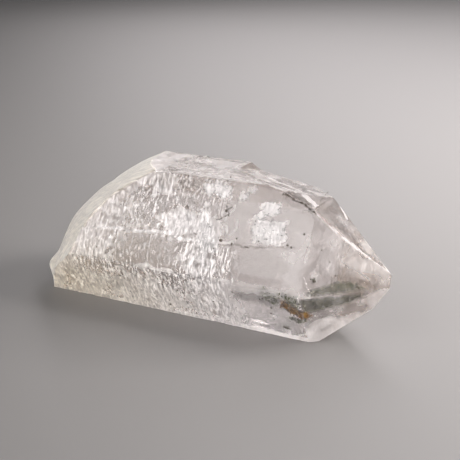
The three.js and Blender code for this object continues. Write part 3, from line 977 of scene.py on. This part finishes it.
def grain_tree():
    """Spreads flattened grains over a film, by its density, each turned its own way."""
    tree = bpy.data.node_groups.new("grains over a film", "GeometryNodeTree")
    numbers = {
        "Grains per mm2": 2.0,
        "Smallest": 0.1,
        "Largest": 0.3,
        "Length": 1.0,
        "Thickness": 0.3,
        "Spread": 0.2,
        "Tumble": 1.0,
    }
    slots = tree.interface
    slots.new_socket(name="Film", in_out="INPUT", socket_type="NodeSocketGeometry")
    for name, value in numbers.items():
        socket = slots.new_socket(name=name, in_out="INPUT", socket_type="NodeSocketFloat")
        socket.default_value = value
    slots.new_socket(name="Seed", in_out="INPUT", socket_type="NodeSocketInt")
    slots.new_socket(name="Finish", in_out="INPUT", socket_type="NodeSocketMaterial")
    slots.new_socket(name="Grains", in_out="OUTPUT", socket_type="NodeSocketGeometry")
    given = add(tree, "NodeGroupInput").outputs
    per_metre = add(
        tree, "ShaderNodeMath", {0: given["Grains per mm2"], 1: 1e6}, operation="MULTIPLY"
    )
    points = add(
        tree, "GeometryNodeDistributePointsOnFaces",
        {"Mesh": given["Film"], "Density": per_metre.outputs[0], "Seed": given["Seed"]},
    )
    sideways = add(
        tree, "FunctionNodeRandomValue",
        {"Min": (-1, -1, -1), "Max": (1, 1, 1), "Seed": given["Seed"]},
        data_type="FLOAT_VECTOR",
    )
    spread = add(
        tree, "ShaderNodeMath", {0: given["Spread"], 1: MM}, operation="MULTIPLY"
    )
    shift = add(
        tree, "ShaderNodeVectorMath", {0: sideways.outputs[0], "Scale": spread.outputs[0]},
        operation="SCALE",
    )
    moved = add(
        tree, "GeometryNodeSetPosition", {"Geometry": points.outputs[0], "Offset": shift.outputs[0]}
    )
    grain = add(tree, "GeometryNodeMeshIcoSphere", {"Radius": MM / 2, "Subdivisions": 1})
    shape = add(
        tree, "ShaderNodeCombineXYZ", {"X": given["Length"], "Y": 1.0, "Z": given["Thickness"]}
    )
    flat = add(
        tree, "GeometryNodeTransform", {"Geometry": grain.outputs[0], "Scale": shape.outputs[0]}
    )
    turn = add(
        tree, "ShaderNodeVectorMath", {0: sideways.outputs[0], "Scale": given["Tumble"]},
        operation="SCALE",
    )
    spun = add(
        tree, "FunctionNodeRotateRotation",
        {"Rotation": points.outputs["Rotation"], "Rotate By": turn.outputs[0]},
        rotation_space="LOCAL",
    )
    pick = add(tree, "FunctionNodeRandomValue", {"Seed": given["Seed"]}, data_type="FLOAT")
    mostly_small = add(
        tree, "ShaderNodeMath", {0: pick.outputs[1], 1: 2.5}, operation="POWER"
    )
    size = add(
        tree, "ShaderNodeMapRange",
        {"Value": mostly_small.outputs[0], 3: given["Smallest"], 4: given["Largest"]},
    )
    copies = add(
        tree, "GeometryNodeInstanceOnPoints",
        {
            "Points": moved.outputs[0],
            "Instance": flat.outputs[0],
            "Rotation": spun.outputs[0],
            "Scale": size.outputs[0],
        },
    )
    real = add(tree, "GeometryNodeRealizeInstances", {"Geometry": copies.outputs[0]})
    finished = add(
        tree, "GeometryNodeSetMaterial",
        {"Geometry": real.outputs[0], "Material": given["Finish"]},
    )
    add(tree, "NodeGroupOutput", {"Grains": finished.outputs[0]})
    return tree


grains_over_film = grain_tree()


def grains(film_mesh, finish, seed, **sizes):
    """A mesh of grains spread over a film, with the sizes that the tree takes, in millimetres.

    Each is shifted along every axis by up to the spread. Where that is more than the film's
    depth, some grains come out through the skin.
    """
    maker = new_object("grains", film_mesh)
    spreader = maker.modifiers.new("grains", "NODES")
    spreader.node_group = grains_over_film
    wanted = {"Seed": seed, "Finish": finish}
    wanted.update({name.replace("_", " "): value for name, value in sizes.items()})
    for socket in grains_over_film.interface.items_tree:
        if socket.name in wanted:
            spreader[socket.identifier] = wanted[socket.name]
    mesh = plain_mesh(maker)
    bpy.data.objects.remove(maker)
    mesh.materials.clear()
    mesh.materials.append(finish)
    return mesh


# Gas under glass-smooth quartz mirrors nearly all the light: bright, sharp and all but white,
# turning a little duller or brighter every 2 mm or so.
gassy, tree = new_material("bright gas sliver")
where = add(tree, "ShaderNodeTexCoord")
tone = add(
    tree, "ShaderNodeTexNoise", {"Vector": where.outputs["Object"], "Scale": 1 / (2 * MM)}
)
whiteness = add(
    tree, "ShaderNodeMix", {0: tone.outputs[0], 6: linear("#e9e4e6"), 7: linear("#ffffff")},
    data_type="RGBA",
)
shine = add(
    tree, "ShaderNodeBsdfPrincipled",
    {"Base Color": whiteness.outputs[2], "Metallic": 0.8, "Roughness": 0.2},
)
add(tree, "ShaderNodeOutputMaterial", {"Surface": shine.outputs[0]})
slivers = grains(
    cracks_mesh.copy(), gassy, 4,
    Grains_per_mm2=3.0, Smallest=0.12, Largest=0.6, Length=1.6, Thickness=0.12, Spread=0.4,
    Tumble=1.2,
)
inside_quartz(new_object("crack_slivers", slivers))

# ---- The chlorite leaf --------------------------------------------------------------------
# A film of chlorite, a soft green mineral, that settled on the young point and was grown over.
# It folds round the point's front edge, so it shows as two halves of a leaf with a midrib.

leaf_upper = film(
    "point_front_upper",
    [(0.6, 0.3), (4.8, 1.7), (9.5, 3.4), (14.2, 5.1), (17.4, 6.2), (15.4, 7.1), (12.7, 7.5),
     (9.7, 6.9), (6.2, 5.0), (3.3, 3.2), (1.7, 2.0)],
    sunk_by=0.35, thick=0.12, ragged=0.35,
)
leaf_lower = film(
    "point_front_lower",
    [(0.3, 16.7), (0.0, 11.6), (2.0, 10.7), (5.7, 10.1), (9.4, 9.5), (12.5, 9.3), (15.1, 9.6),
     (17.4, 10.6), (13.8, 12.1), (9.1, 13.8), (4.4, 15.5)],
    sunk_by=0.35, thick=0.12, ragged=0.5,
)
leaf_mesh = joined("chlorite_leaf", [leaf_upper, leaf_lower])


def dusty(name, dark, light, fleck, roughness=0.8, cover=None):
    """Dust in flecks of two tones, their size in millimetres.

    A film of it has a cover, where it is thin and where it is thick. A grain of it is solid.
    """
    made, tree = new_material(name)
    where = add(tree, "ShaderNodeTexCoord")
    stretch = add(
        tree, "ShaderNodeMapping", {"Vector": where.outputs["Object"], "Scale": (1.6, 1.6, 0.7)}
    )
    clouds = add(
        tree, "ShaderNodeTexNoise",
        {"Vector": stretch.outputs[0], "Scale": 1 / (fleck * MM), "Detail": 4.0, "Roughness": 0.7},
    )
    shade = add(
        tree, "ShaderNodeMapRange", {"Value": clouds.outputs[0], 1: 0.35, 2: 0.65}
    )
    tone = add(
        tree, "ShaderNodeMix", {0: shade.outputs[0], 6: linear(dark), 7: linear(light)},
        data_type="RGBA",
    )
    dust = add(
        tree, "ShaderNodeBsdfPrincipled", {"Base Color": tone.outputs[2], "Roughness": roughness}
    )
    if cover:
        thin, thick = cover
        fade = add(tree, "ShaderNodeAttribute", attribute_name="fade")
        amount = add(
            tree, "ShaderNodeMapRange",
            {"Value": clouds.outputs[0], 1: 0.7, 2: 0.4, 3: thin, 4: thick},
        )
        covered = add(
            tree, "ShaderNodeMath", {0: amount.outputs[0], 1: fade.outputs["Fac"]},
            operation="MULTIPLY",
        )
        tree.links.new(covered.outputs[0], dust.inputs["Alpha"])
    add(tree, "ShaderNodeOutputMaterial", {"Surface": dust.outputs[0]})
    return made


# Chlorite dust, settled as a film, is matt, grey-green and uneven.
chlorite = dusty("chlorite dust", "#484a38", "#8c8a70", fleck=1.429, cover=(0.45, 0.9))
leaf_mesh.materials.append(chlorite)
smooth(leaf_mesh)
inside_quartz(new_object("chlorite_leaf", leaf_mesh))

# Single chlorite plates lie over the leaf and in loose tufts on the prism side of it.
tufts = [
    ("front_lower", [(23.4, 16.9), (25.4, 16.2), (26.2, 14.0), (25.0, 12.8), (23.7, 14.1)]),
    ("front_lower", [(21.2, 17.2), (22.9, 17.4), (24.4, 15.6), (23.0, 14.6), (21.7, 15.6)]),
    ("front_lower", [(28.3, 9.0), (30.0, 9.2), (32.3, 8.9), (32.2, 7.6), (30.2, 7.4), (28.6, 7.8)]),
    ("front_lower", [(25.4, 4.9), (27.9, 4.7), (27.8, 3.8), (25.6, 4.0)]),
    ("front_lower", [(26.3, 16.8), (31.4, 17.0), (31.6, 12.6), (29.6, 13.9), (27.0, 15.4)]),
    ("point_front_upper", [(2.6, 5.6), (3.7, 5.8), (3.9, 4.7), (2.9, 4.5)]),
]
tuft_films = [
    film(name, loop, sunk_by=0.4, thick=0.1, ragged=0.4, pitch=0.3) for name, loop in tufts
]
# A chlorite plate is solid and darker than the dust, with a slight gloss like mica's.
green = dusty("chlorite plate", "#34362b", "#74765b", fleck=1.429, roughness=0.45)
over_leaf = grains(
    leaf_mesh.copy(), green, 11,
    Grains_per_mm2=4.0, Smallest=0.06, Largest=0.3, Length=1.5, Thickness=0.3, Spread=0.3,
    Tumble=1.5,
)
in_tufts = grains(
    joined("tufts", tuft_films), green, 12,
    Grains_per_mm2=16.0, Smallest=0.12, Largest=0.6, Length=1.6, Thickness=0.3, Spread=0.45,
    Tumble=1.5,
)
plates = joined("chlorite_plates", [over_leaf, in_tufts])
plates.materials.append(green)
inside_quartz(new_object("chlorite_plates", plates))

# ---- The iron stain -----------------------------------------------------------------------
# Rust-brown iron oxide that crept into a short crack beside the leaf: a thin amber film, which
# comes out through the skin at the point's edge, with darker crumbs round it.

stain_film = film(
    "front_lower",
    [(26.4, 15.0), (28.2, 15.4), (29.9, 14.2), (31.4, 13.0), (33.2, 12.0), (33.9, 10.4),
     (32.8, 9.2), (30.8, 9.6), (29.4, 10.6), (27.9, 11.9), (26.6, 13.2)],
    sunk_by=0.3, thick=0.12, ragged=0.7, pitch=0.25,
)
stain_mesh = joined("iron_stain", [stain_film])
# Where the oxide is a film, light comes through it amber and rust-brown.
rusty = dusty("iron oxide film", "#47301a", "#cfa055", fleck=1.667, roughness=0.5, cover=(0.6, 1.0))
# Where it is a crumb, it is solid and darker, down to the brown of limonite.
crumbly = dusty("iron oxide crumb", "#2c1a0c", "#8a6230", fleck=0.909, roughness=0.5)
stain_mesh.materials.append(rusty)
crumbs = grains(
    stain_mesh.copy(), crumbly, 5,
    Grains_per_mm2=8.0, Smallest=0.1, Largest=0.5, Length=1.3, Thickness=0.6, Spread=0.5,
    Tumble=1.5,
)
inside_quartz(new_object("iron_stain", stain_mesh))
inside_quartz(new_object("iron_crumbs", crumbs))

# ---- Dark specks --------------------------------------------------------------------------
# Crumbs of dark mineral and dirt at the skin, each a few tenths of a millimetre across, singly
# or strung along fine cracks. About half are bedded partly in the quartz, and some stand off it.

# Each speck's place along and across its face, and its size.
specks = {
    "front_upper": [
        (8.6, 18.3, 0.7), (9.5, 17.3, 0.5), (17.0, 16.8, 0.35), (8.9, 10.7, 0.8),
        (13.1, 11.8, 0.4), (12.1, 10.2, 0.6), (7.6, 8.4, 0.35), (18.9, 12.0, 0.35),
        (26.5, 12.2, 0.55), (27.6, 11.9, 0.5), (31.5, 12.6, 0.35), (7.4, 27.0, 0.35),
        (-0.8, 19.0, 0.3), (30.1, 15.5, 0.5), (-22.6, 2.2, 0.3), (22.2, -1.6, 0.4),
    ],
    "front_lower": [
        (-37.6, 7.3, 0.35), (-36.5, 5.9, 0.3), (-6.6, 5.3, 0.45), (-6.9, 3.5, 0.45),
        (6.9, 8.2, 0.5), (13.8, 8.6, 0.3), (24.0, 11.6, 0.5), (23.5, 9.2, 0.45),
        (-41.9, 5.3, 0.25), (22.2, 14.4, 0.4), (-18.6, 5.7, 0.25),
    ],
    "point_front_upper": [
        (3.3, 5.2, 0.6), (8.4, 7.7, 0.35), (6.2, 10.5, 0.3), (3.6, 12.8, 0.3), (16.9, 6.6, 0.35),
    ],
    "shoulder": [],
    "point_upper": [],
}
# Each fine crack runs from one place on a face to another: its ends and its specks' size.
speckled_cracks = [
    ("front_upper", (6.6, 15.7), (9.7, 17.4), 0.2),
    ("front_upper", (8.6, 18.3), (10.2, 19.4), 0.18),
    ("front_upper", (9.7, 17.4), (8.2, 19.6), 0.18),
    ("front_upper", (15.6, 10.2), (17.2, 10.2), 0.16),
    ("front_upper", (3.6, 15.0), (5.6, 13.0), 0.18),
    ("front_upper", (18.5, 10.5), (29.1, 12.0), 0.09),
    ("shoulder", (0.1, -0.3), (-0.5, 8.4), 0.1),
    ("shoulder", (-0.5, 8.4), (-0.4, 14.5), 0.1),
    ("point_upper", (-0.9, 6.4), (-1.6, 15.4), 0.1),
    ("front_upper", (22.6, 24.4), (28.9, 22.5), 0.3),
    ("front_upper", (25.2, 24.6), (29.8, 22.9), 0.25),
    ("front_upper", (28.9, 22.5), (32.0, 20.5), 0.26),
    ("front_lower", (25.8, 4.5), (27.6, 4.3), 0.3),
    ("point_front_upper", (10.8, 10.9), (17.1, 8.7), 0.1),
    ("point_front_upper", (18.1, 6.5), (22.0, 7.6), 0.14),
]
speck_spacing = 0.22
for name, start, end, size in speckled_cracks:
    start, end = np.array(start), np.array(end)
    count = int(np.linalg.norm(end - start) / speck_spacing)
    for k in range(count):
        x, across = start + (end - start) * k / count
        across += (noise(x * 1.3, across) - 0.5) * 0.5
        specks[name].append((x, across, size * (0.6 + 1.2 * scatter(k, count))))
# A crumb's middle is 0.1 mm under its face, so a larger one comes through the skin, and one
# whose place is past the face's edge stands clear of the crystal.
dark_mesh = bpy.data.meshes.new("dark_specks")
with opened(dark_mesh) as shell:
    for name, spots in specks.items():
        for x, across, size in spots:
            spot = np.array([[x, across]])
            deep = relief(name, *spot.T) + 0.1
            place = faces[name].under(spot, deep)[0] * MM
            crumb = bmesh.ops.create_icosphere(shell, subdivisions=1, radius=size * 0.65 * MM)
            for number, vert in enumerate(crumb["verts"]):
                knobbly = 0.7 + 0.6 * scatter(number, round(x * 10))
                vert.co = Vector(place) + vert.co * knobbly
# Dirt and dark mineral, tourmaline or the like: brown-black, a little shiny, never quite black.
sooty = dusty("dark mineral crumb", "#2b2723", "#5f564a", fleck=0.667, roughness=0.5)
dark_mesh.materials.append(sooty)
inside_quartz(new_object("dark_specks", dark_mesh))

# ---- The stage ----------------------------------------------------------------------------
# A plain pale satin surface, and soft light: a window at the right, a large one behind, and a
# high sheet and a low lamp in front. Metres and watts.

floor_reach = 3
floor_drop = 3e-5  # keeps the floor just clear of the crystal's base
floor_mesh = bpy.data.meshes.new("floor")
floor_mesh.from_pydata(
    [
        (across * floor_reach, along * floor_reach, -floor_drop)
        for across, along in ((-1, -1), (1, -1), (1, 1), (-1, 1))
    ],
    [],
    [(0, 1, 2, 3)],
)
floor = new_object("floor", floor_mesh)
# Painted board, half matt, so that it takes a soft shadow and no sharp reflection.
painted, tree = new_material("pale satin surface")
surface = add(
    tree, "ShaderNodeBsdfPrincipled", {"Base Color": linear("#817f7e"), "Roughness": 0.6}
)
add(tree, "ShaderNodeOutputMaterial", {"Surface": surface.outputs[0]})
floor_mesh.materials.append(painted)


def soft_light(name, place, aim, size, watts, colour, spread=180):
    """A lamp behind a soft sheet of a width and height, turned to shine on a place."""
    lamp = bpy.data.lights.new(name, "AREA")
    lamp.shape = "RECTANGLE"
    lamp.size, lamp.size_y = size
    lamp.energy = watts
    lamp.spread = math.radians(spread)
    lamp.color = linear(colour)[:3]
    made = bpy.data.objects.new(name, lamp)
    made.location = place
    made.rotation_euler = (Vector(place) - Vector(aim)).to_track_quat("Z", "Y").to_euler()
    made.visible_camera = False
    scene.collection.objects.link(made)


crystal_middle = (0, 0, 0.02)
soft_light(
    "window", place=(0.35, 0.165, 0.25), aim=(0.05, 0.19, 0),
    size=(0.28, 0.2), watts=2.6, colour="#fffaf6",
)
soft_light(
    "far window", place=(0.02, 0.44, 0.47), aim=(0.33, 0.74, 0),
    size=(1.0, 0.7), watts=9.6, colour="#fffbfd",
)
soft_light(
    "front sheet", place=(-0.5, -0.86, 0.72), aim=crystal_middle,
    size=(0.9, 0.9), watts=6.4, colour="#ffffff",
)
soft_light(
    "front lamp", place=(0.6, -1.0, 0.22), aim=crystal_middle,
    size=(0.6, 0.4), watts=1.2, colour="#fffaf8", spread=50,
)
# A weak, even light from all round fills the shadows.
world = bpy.data.worlds.new("studio")
world.use_nodes = True
world.node_tree.nodes["Background"].inputs["Color"].default_value = linear("#dcdcde")
world.node_tree.nodes["Background"].inputs["Strength"].default_value = 0.15
scene.world = world
scene.view_settings.view_transform = "Standard"
